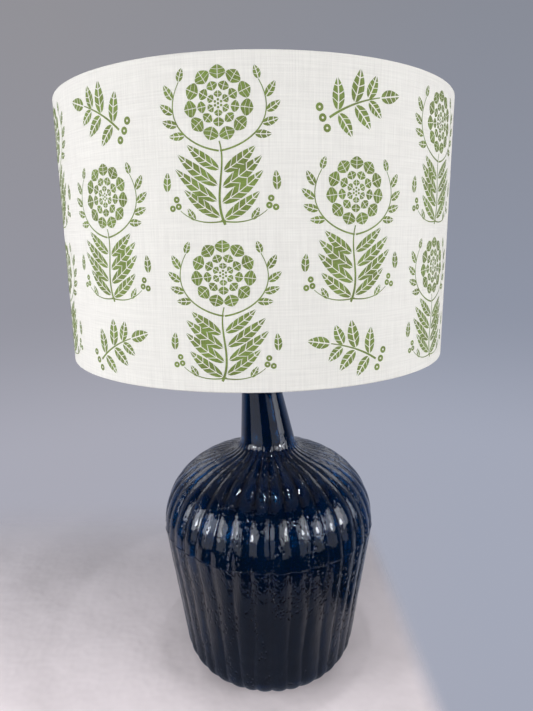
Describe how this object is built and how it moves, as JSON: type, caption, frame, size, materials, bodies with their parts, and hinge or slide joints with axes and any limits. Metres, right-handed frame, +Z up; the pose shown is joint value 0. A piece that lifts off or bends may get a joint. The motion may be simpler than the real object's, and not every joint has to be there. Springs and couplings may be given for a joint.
{
  "type": "table lamp with drum shade",
  "caption": "Table lamp: a ribbed dark glass bottle base carries a screw lampholder with a push-bar switch, a round bulb and a fabric drum shade that turns and is held by a lock ring.",
  "frame": {"origin": "on the floor under the common axis of drum shade, bulb and lampholder, at the bottom centre of the bounding box", "axes": "+Z up the lampholder's axis; the flex enters at the back, +Y; the switch bar lies along X, its longer end at +X"},
  "size_m": [0.3999, 0.4, 0.653],
  "materials": {
    "bottle_glass": "deep navy recycled glass, glossy, ribbed, slightly uneven",
    "clear_silicone": "clear soft silicone pads",
    "black_rubber": "matte black moulded rubber",
    "zinc_steel": "zinc plated steel",
    "antique_brass": "aged satin brass, spun and turned",
    "white_plastic": "white moulded thermoplastic, low gloss",
    "holder_ceramic": "unglazed white steatite",
    "contact_brass": "bright contact brass",
    "shade_linen": "off-white slubby linen with a green printed leaf pattern",
    "liner_plastic": "matte white laminate backing",
    "white_wire": "white powder coated steel wire",
    "opal_glass": "opal white diffusing globe, satin gloss",
    "bulb_plastic": "white bulb housing",
    "nickel_cap": "nickel plated screw cap",
    "black_bead": "black vitreous insulator"
  },
  "bodies": {
    "base": {"glass_bottle": "bottle_glass", "foot_pads": "clear_silicone", "neck_bung": "black_rubber", "bung_washer": "zinc_steel", "bung_nut": "zinc_steel", "stem_tube": "zinc_steel", "neck_gasket": "black_rubber", "neck_cap": "antique_brass", "cap_nut": "antique_brass", "entry_collar": "antique_brass", "cord_bush": "white_plastic", "holder_nipple": "zinc_steel", "holder_base": "white_plastic", "holder_core": "holder_ceramic", "terminal_screws": "contact_brass", "centre_contact": "contact_brass", "switch_leaf": "contact_brass", "screw_shell": "contact_brass", "holder_skirt": "white_plastic"},
    "switch_bar": {"switch_bar": "white_plastic"},
    "lock_ring": {"shade_lock_ring": "white_plastic"},
    "shade": {"shade_fabric": "shade_linen", "shade_liner": "liner_plastic", "top_ring": "white_wire", "bottom_ring": "white_wire", "shade_spider": "white_wire"},
    "bulb": {"bulb_globe": "opal_glass", "bulb_body": "bulb_plastic", "bulb_cap": "nickel_cap", "bulb_bead": "black_bead", "bulb_tip": "nickel_cap"}
  },
  "joints": [
    {"name": "shade_turn", "type": "hinge", "parent": "base", "child": "shade", "pos_m": [0, 0, 0.4268], "axis": [0, 0, 1], "continuous": true},
    {"name": "lock_ring_rise", "type": "slide", "parent": "base", "child": "lock_ring", "axis": [0, 0, 1], "range_m": [0, 0.012]},
    {"name": "switch_push", "type": "slide", "parent": "base", "child": "switch_bar", "axis": [-1, 0, 0], "range_m": [0, 0.005]},
    {"name": "bulb_lift", "type": "slide", "parent": "base", "child": "bulb", "axis": [0, 0, 1], "range_m": [0, 0.25]}
  ]
}
